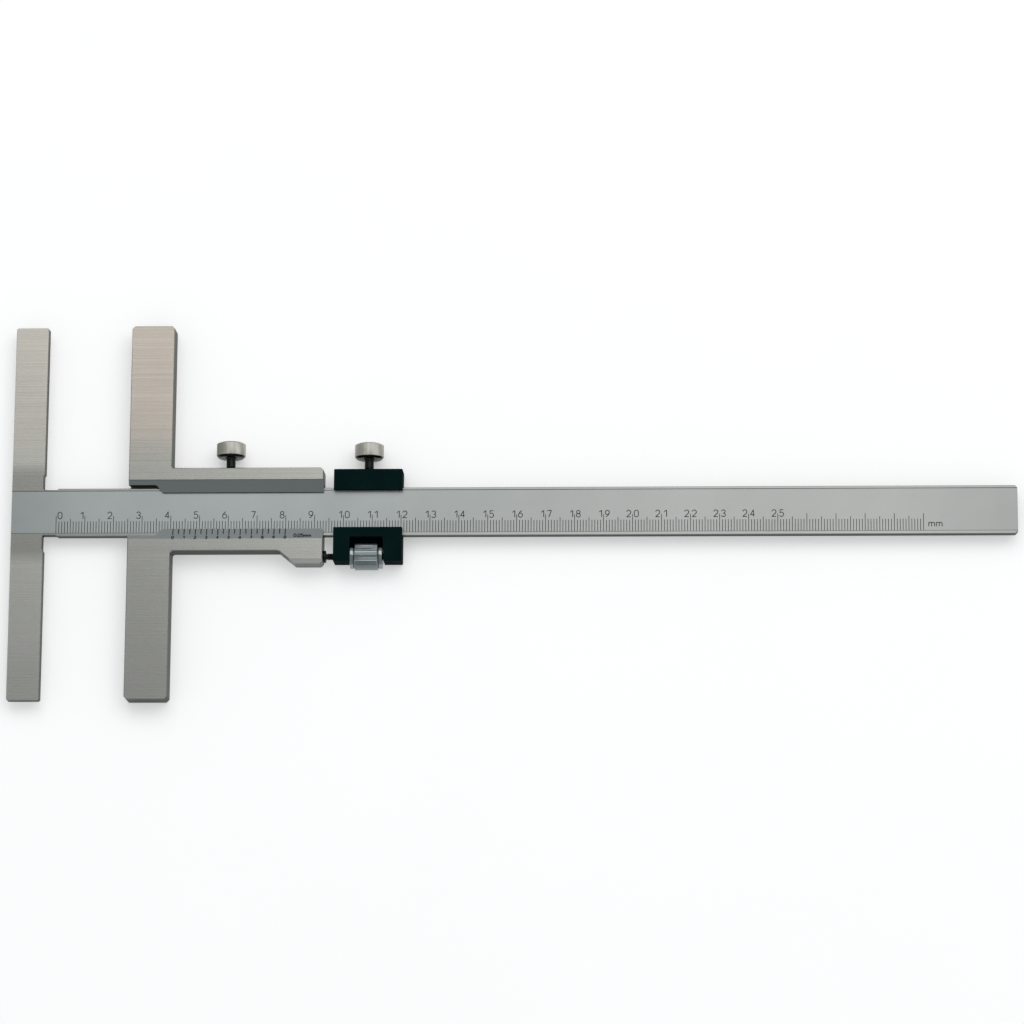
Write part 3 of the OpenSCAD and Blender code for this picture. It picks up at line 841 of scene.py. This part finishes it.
def rounded(points, reach=0.05):
    """The stroke with a small arc instead of each sharp corner, as a round cutter leaves it."""
    sharp, steps = 0.6, 6
    points = [Vector(point) for point in points]
    made = [points[0]]
    for before, here, after in zip(points, points[1:], points[2:]):
        into, out = here - before, after - here
        if min(into.length, out.length) > 2 * reach and into.angle(out) > sharp:
            start, end = here - into.normalized() * reach, here + out.normalized() * reach
            for share in (i / steps for i in range(steps + 1)):
                made.append(start.lerp(here, share).lerp(here.lerp(end, share), share))
        else:
            made.append(here)
    return made + [points[-1]]


def strokes_of(sign):
    """(advance, strokes) of one sign."""
    ring = bow(0.3, 0.31, 0.3, 0.31, 0, 360, 28)
    stem = [(0.5, 1.0), (0.28, 0.83), (0.1, 0.6), (0.01, 0.36)]
    shapes = {
        "0": [bow(0.3, 0.68, 0.3, 0.32, 0, 180) + bow(0.3, 0.32, 0.3, 0.32, 180, 360)
              + [(0.6, 0.68)]],
        "1": [[(0.0, 0.74), (0.36, 1.0), (0.36, 0.0)]],
        "2": [bow(0.3, 0.7, 0.3, 0.3, 168, -38) + [(0.0, 0.0), (0.6, 0.0)]],
        "3": [bow(0.29, 0.75, 0.27, 0.25, 158, -88) + bow(0.29, 0.26, 0.3, 0.26, 86, -160)],
        "4": [[(0.44, 0.0), (0.44, 1.0), (0.0, 0.27), (0.62, 0.27)]],
        "5": [[(0.55, 1.0), (0.1, 1.0), (0.06, 0.56)] + bow(0.28, 0.32, 0.32, 0.32, 128, -150)],
        "6": [ring, stem],
        "7": [[(0.0, 1.0), (0.6, 1.0), (0.22, 0.0)]],
        "8": [bow(0.3, 0.76, 0.25, 0.24, 0, 360, 28), bow(0.3, 0.26, 0.3, 0.26, 0, 360, 28)],
        "9": [[(0.6 - x, 1 - y) for x, y in stroke] for stroke in (ring, stem)],
        ",": [[(0.12, 0.06), (0.04, -0.16)]],
        "m": [[(0.0, 0.0), (0.0, 0.62)], bow(0.2, 0.42, 0.2, 0.2, 180, 0) + [(0.4, 0.0)],
              bow(0.6, 0.42, 0.2, 0.2, 180, 0) + [(0.8, 0.0)]],
    }
    wide = {"1": 0.38, ",": 0.06, "m": 0.8}.get(sign, 0.6)
    return wide + SIGN_GAP, shapes[sign]


def graduation(name, body, place, sizes):
    """A row of filled lines on a body's face."""
    mesh = grown_mesh(name, [(0, 0, 0)], graduation_tree, once(dark_filling), sizes)
    mesh.transform(place)
    piece(name, mesh, body)


def lettering(name, body, place, texts, stroke, relief):
    """Filled strokes on a body's face.

    A text is (signs, left, foot, height, width as a share of the usual width).
    """
    curve = bpy.data.curves.new(name, "CURVE")
    curve.dimensions = "3D"
    curve.bevel_depth = stroke / 2
    curve.bevel_resolution = 1
    curve.use_fill_caps = True
    for signs, left, foot, height, wide in texts:
        for sign in signs:
            advance, shapes = strokes_of(sign)
            for shape in shapes:
                closed = math.dist(shape[0], shape[-1]) < 1e-6
                points = shape[:-1] if closed else rounded(shape)
                spline = curve.splines.new("POLY")
                spline.points.add(len(points) - 1)
                for point, (x, y) in zip(spline.points, points):
                    point.co = (left + x * height * wide, foot + y * height, 0, 1)
                spline.use_cyclic_u = closed
            left += advance * height * wide
    holder = bpy.data.objects.new(name, curve)
    bpy.context.scene.collection.objects.link(holder)
    depsgraph = bpy.context.evaluated_depsgraph_get()
    mesh = bpy.data.meshes.new_from_object(holder.evaluated_get(depsgraph))
    bpy.data.objects.remove(holder)
    bpy.data.curves.remove(curve)
    mesh.transform(Matrix.Diagonal((1, 1, 2 * relief / stroke, 1)))
    mesh.materials.clear()
    mesh.materials.append(once(dark_filling))
    face_outwards(mesh)
    mesh.transform(place)
    piece(name, mesh, body)


def width_of(signs, height):
    """Width of a text without the gap after its last sign."""
    total = sum(strokes_of(sign)[0] for sign in signs)
    return (total - SIGN_GAP) * height


# Operators


class CALIPER_OT_beam(bpy.types.Operator):
    """Finishes the beam, and puts the millimetre lines and the centimetre numerals on it"""

    bl_idname = "caliper.beam"
    bl_label = "Finish and engrave the beam"

    def execute(self, context):
        repaint("beam", beam_steel)
        scale = context.scene.caliper_beam_scale
        zero = BEAM_LOW.x + scale.zero
        graduation(
            "beam_scale_lines", "beam", Matrix.Translation((zero, scale.foot, SUNK_Z)),
            {"Lines": scale.lines, "Spacing": MM, "Width": scale.width, "Relief": scale.relief,
             "Short": scale.short, "Middle": scale.middle, "Long": scale.long,
             "Middle Every": 5, "Long Every": 10},
        )
        # A number stands with its first digit left of its line and its second one right of
        # it. The zero stands right of its line.
        foot = scale.foot + scale.long - 1.0 * MM
        gap = 0.6 * MM
        narrow = 0.12 * scale.digit
        texts = []
        for number in range(scale.last + 1):
            at = zero + number * 10 * MM
            first, second = (str(number)[0], str(number)[1:]) if number else ("", "0")
            left = at - gap - width_of(first, scale.digit)
            right = at + gap + (narrow if second == "1" else 0)
            texts.append((first, left, foot, scale.digit, 1.0))
            texts.append((second, right, foot, scale.digit, 1.0))
        end = zero + (scale.lines - 1) * MM
        texts.append(("mm", end + 1.8 * MM, -5.9 * MM, scale.digit, 1.05))
        lettering("beam_numerals", "beam", Matrix.Translation((0, 0, SUNK_Z)), texts,
                  scale.stroke, scale.relief)
        return {"FINISHED"}


class CALIPER_OT_slider(bpy.types.Operator):
    """Finishes the slider, and puts the vernier's lines and numerals on its lower bevel"""

    bl_idname = "caliper.slider"
    bl_label = "Finish and engrave the slider"

    def execute(self, context):
        repaint("slider", slider_steel)
        vernier = context.scene.caliper_vernier
        relief = context.scene.caliper_beam_scale.relief
        rise = SLIDER_HIGH.z - LIP_Z
        slope = math.atan2(rise, LIP_LOW - BEVEL_LOW)
        zero = SLIDER_LOW.x + vernier.zero
        place = Matrix.Translation((zero, LIP_LOW, LIP_Z)) @ Matrix.Rotation(-slope, 4, "X")
        down = 1 / math.cos(slope)
        graduation(
            "vernier_lines", "slider", place,
            {"Lines": vernier.lines, "Spacing": vernier.spacing, "Width": vernier.width,
             "Relief": relief, "Short": vernier.short * down, "Middle": vernier.long * down,
             "Long": vernier.long * down, "Middle Every": 2, "Long Every": 2, "Hang": 1.0},
        )
        foot, unit_foot = -3.72 * MM * down, -3.15 * MM * down
        texts = []
        for i in range(0, vernier.lines, 2):
            sign = str(i // 2 % 10)
            half = width_of(sign, vernier.digit) / 2
            texts.append((sign, i * vernier.spacing - half, foot, vernier.digit, 1.0))
        texts.append(("0,05mm", 42.1 * MM, unit_foot, 1.2 * MM, 1.04))
        lettering("vernier_numerals", "slider", place, texts, vernier.stroke, relief)
        return {"FINISHED"}


class CALIPER_OT_clamp(bpy.types.Operator):
    """Blackens the fine-adjust clamp"""

    bl_idname = "caliper.clamp"
    bl_label = "Finish the clamp"

    def execute(self, context):
        repaint("clamp", blackened_steel)
        return {"FINISHED"}


class CALIPER_OT_strips(bpy.types.Operator):
    """Finishes both strips and the small set screws"""

    bl_idname = "caliper.strips"
    bl_label = "Finish the strips"

    def execute(self, context):
        repaint("slider_gib", rolled_bronze)
        repaint("clamp_gib", rolled_bronze)
        repaint("gib_screws", dark_steel)
        return {"FINISHED"}


class CALIPER_OT_thumb_screws(bpy.types.Operator):
    """Turns, knurls and threads both thumb screws"""

    bl_idname = "caliper.thumb_screws"
    bl_label = "Make the thumb screws"

    def execute(self, context):
        thumb_screw("slider_thumb_screw", "slider_screw", "slider_screw", UPPER_RAIL)
        thumb_screw("clamp_thumb_screw", "clamp_screw", "clamp_screw", CLAMP_TOP)
        return {"FINISHED"}


class CALIPER_OT_nut(bpy.types.Operator):
    """Turns and knurls the adjusting nut"""

    bl_idname = "caliper.nut"
    bl_label = "Make the adjusting nut"

    def execute(self, context):
        turned = context.scene.caliper_turned
        size = NUT_HIGH.x - NUT_LOW.x
        drum_r, collar_r, neck_r, bore_r = 4.7 * MM, 4.2 * MM, 3.85 * MM, 1.3 * MM
        collar = 1.2 * MM
        drum_from = 1.45 * MM
        drum_to = size - drum_from
        bevel, rim, sink = 0.12 * MM, 0.35 * MM, 0.2 * MM
        half = [(0.0, bore_r + sink), (0.0, 3.2 * MM)]
        half += corner(0.0, collar_r, -1, 1, 0.2 * MM)[::-1]
        half += corner(collar, collar_r, 1, 1, 0.12 * MM)
        half += [(collar, neck_r), (drum_from, neck_r), (drum_from, drum_r - 0.45 * MM)]
        half += [(drum_from + bevel, drum_r - 0.2 * MM), (drum_from + rim, drum_r)]
        mirrored = [(size - along, radius) for along, radius in reversed(half)]
        profile = half + mirrored
        profile += [(size - sink, bore_r), (sink, bore_r), half[0]]
        ridges = ridges_round(2 * drum_r, turned.nut_pitch)
        place = Matrix.Translation((NUT_LOW.x, (NUT_LOW.y + NUT_HIGH.y) / 2, MID_Z))
        turned_piece(
            "knurled_nut", "adjusting_nut", "adjusting_nut", profile, place, int(8 * ridges),
            {"Ridges": ridges, "Knurl Depth": turned.nut_depth, "Steepness": 2.0,
             "Knurl From": drum_from + bevel, "Knurl To": drum_to - bevel},
            finish=bright_nickel,
        )
        return {"FINISHED"}


class CALIPER_OT_spindle(bpy.types.Operator):
    """Turns and threads the spindle with its collar"""

    bl_idname = "caliper.spindle"
    bl_label = "Make the spindle"

    def execute(self, context):
        turned = context.scene.caliper_turned
        reach = SPINDLE_HIGH.x - SPINDLE_LOW.x
        collar_r = (SPINDLE_HIGH.y - SPINDLE_LOW.y) / 2
        collar_from = SLIDER_HIGH.x - SPINDLE_LOW.x
        collar_to = collar_from + 1.0 * MM
        thread_r = 1.24 * MM
        core_r = thread_r - turned.thread_share * turned.spindle_pitch
        step = turned.spindle_pitch / 6
        thread_from = collar_to + 0.5 * MM
        profile = [(0.0, 0.0), (0.0, core_r), (0.3 * MM, thread_r), (collar_from, thread_r)]
        profile += corner(collar_from, collar_r, -1, 1, 0.15 * MM, 3)[::-1]
        profile += corner(collar_to, collar_r, 1, 1, 0.3 * MM, 3)
        profile += [(collar_to, core_r), (thread_from, core_r + 0.02 * MM)]
        profile += evenly(thread_from + 0.1 * MM, reach - 0.35 * MM, thread_r, step)
        profile += [(reach, core_r), (reach, 0.0)]
        place = Matrix.Translation((SPINDLE_LOW.x, (SPINDLE_LOW.y + SPINDLE_HIGH.y) / 2, MID_Z))
        turned_piece(
            "threaded_spindle", "spindle", "slider", profile, place, 40,
            {"Thread From": thread_from, "Thread To": reach - 0.2 * MM,
             "Pitch": turned.spindle_pitch, "Thread Depth": thread_r - core_r},
            dark_until=math.inf,
        )
        return {"FINISHED"}


def lay_floor(scene, stage):
    """A large pale floor, which looks white to the camera and in reflections."""
    made, net, shader, place = new_material(
        "Pale floor", Specular_IOR_Level=0.0, Emission_Strength=1.0
    )
    rays = net.add("ShaderNodeLightPath").outputs
    seen = net.calc("MAXIMUM", rays["Is Camera Ray"], rays["Is Glossy Ray"])
    seen = net.calc("MAXIMUM", seen, rays["Is Transmission Ray"])
    lift = net.blend(seen, (0, 0, 0, 1), (stage.lift, stage.lift, stage.lift, 1))
    net.feed(shader["Emission Color"], lift)
    cloud = group(net, handling, Vector=place, Scale=6.0)["Cloud"]
    base = shades(net, cloud, "floor", 0.99, 1.01)
    finish_with(net, shader, base, net.mix(cloud, 0.85, 0.9), cloud, 0.01 * MM)
    half = 20.0
    mesh = bpy.data.meshes.new("floor")
    mesh.from_pydata([(-half, -half, 0), (half, -half, 0), (half, half, 0), (-half, half, 0)],
                     [], [(0, 1, 2, 3)])
    mesh.materials.append(made)
    floor = bpy.data.objects.new("floor", mesh)
    scene.collection.objects.link(floor)


def light_room(scene, stage):
    """An evenly lit room, and one large soft box over the far side of the beam."""
    world = bpy.data.worlds.new("Room")
    world.use_nodes = True
    sky = world.node_tree.nodes["Background"]
    sky.inputs[0].default_value = (0.96, 0.985, 1.0, 1.0)
    sky.inputs[1].default_value = stage.room
    scene.world = world
    lamp = bpy.data.lights.new("Soft box", "AREA")
    lamp.shape, lamp.size, lamp.size_y = "RECTANGLE", 2.75, 1.5
    lamp.energy, lamp.color = stage.key, (1.0, 0.985, 0.965)
    azimuth, zenith, distance = math.radians(68), math.radians(27), 2.2
    way = Vector((math.cos(azimuth) * math.sin(zenith), math.sin(azimuth) * math.sin(zenith),
                  math.cos(zenith)))
    holder = bpy.data.objects.new("Soft box", lamp)
    holder.location = way * distance
    holder.rotation_euler = way.to_track_quat("Z", "Y").to_euler()
    scene.collection.objects.link(holder)


def aim_camera(scene, stage):
    """The camera looks down, leaning a little to the free end and to the operator's side."""
    lean_x, lean_y = math.tan(math.radians(2.8)), math.tan(math.radians(11.8))
    back = Vector((lean_x, -lean_y, 1.0)).normalized()
    upright = Vector((0.0, back.x ** 2 + back.z ** 2, -back.y * back.z))
    side = upright.cross(back).normalized()
    roll = Matrix.Rotation(math.radians(-0.2), 3, back)
    turn = Matrix((roll @ side, roll @ back.cross(side), back)).transposed().to_4x4()
    camera = bpy.data.cameras.new("Camera")
    camera.lens = stage.focal
    camera.clip_start, camera.clip_end = 0.05, 60
    holder = bpy.data.objects.new("Camera", camera)
    target = Vector((0.0, 0.0, MID_Z))
    holder.matrix_world = Matrix.Translation(target + back * stage.distance) @ turn
    scene.collection.objects.link(holder)
    scene.camera = holder
    scene.view_settings.view_transform = "Standard"


class CALIPER_OT_stage(bpy.types.Operator):
    """Sets the floor, the soft light and the camera"""

    bl_idname = "caliper.stage"
    bl_label = "Set the stage"

    def execute(self, context):
        stage = context.scene.caliper_stage
        lay_floor(context.scene, stage)
        light_room(context.scene, stage)
        aim_camera(context.scene, stage)
        return {"FINISHED"}


OPERATORS = (
    CALIPER_OT_beam, CALIPER_OT_slider, CALIPER_OT_clamp, CALIPER_OT_strips,
    CALIPER_OT_thumb_screws, CALIPER_OT_nut, CALIPER_OT_spindle, CALIPER_OT_stage,
)
SETTINGS = {
    "caliper_beam_scale": BeamScaleSettings,
    "caliper_vernier": VernierSettings,
    "caliper_turned": TurnedSettings,
    "caliper_finish": FinishSettings,
    "caliper_stage": StageSettings,
}


class CALIPER_PT_panel(bpy.types.Panel):
    """Lists the settings and the steps that dress the caliper"""

    bl_idname = "CALIPER_PT_panel"
    bl_label = "Marking caliper"
    bl_space_type = "VIEW_3D"
    bl_region_type = "UI"
    bl_category = "Caliper"

    def draw(self, context):
        for name, kind in SETTINGS.items():
            box = self.layout.box()
            for setting in kind.__annotations__:
                box.prop(getattr(context.scene, name), setting)
        for operator in OPERATORS:
            self.layout.operator(operator.bl_idname)


CLASSES = (*SETTINGS.values(), *OPERATORS, CALIPER_PT_panel)


def register():
    for kind in CLASSES:
        bpy.utils.register_class(kind)
    for name, kind in SETTINGS.items():
        setattr(bpy.types.Scene, name, PointerProperty(type=kind))


def unregister():
    for name in SETTINGS:
        delattr(bpy.types.Scene, name)
    for kind in reversed(CLASSES):
        bpy.utils.unregister_class(kind)


def main():
    register()
    for operator in OPERATORS:
        step = getattr(bpy.ops.caliper, operator.bl_idname.split(".")[1])
        step()


if __name__ == "__main__":
    main()
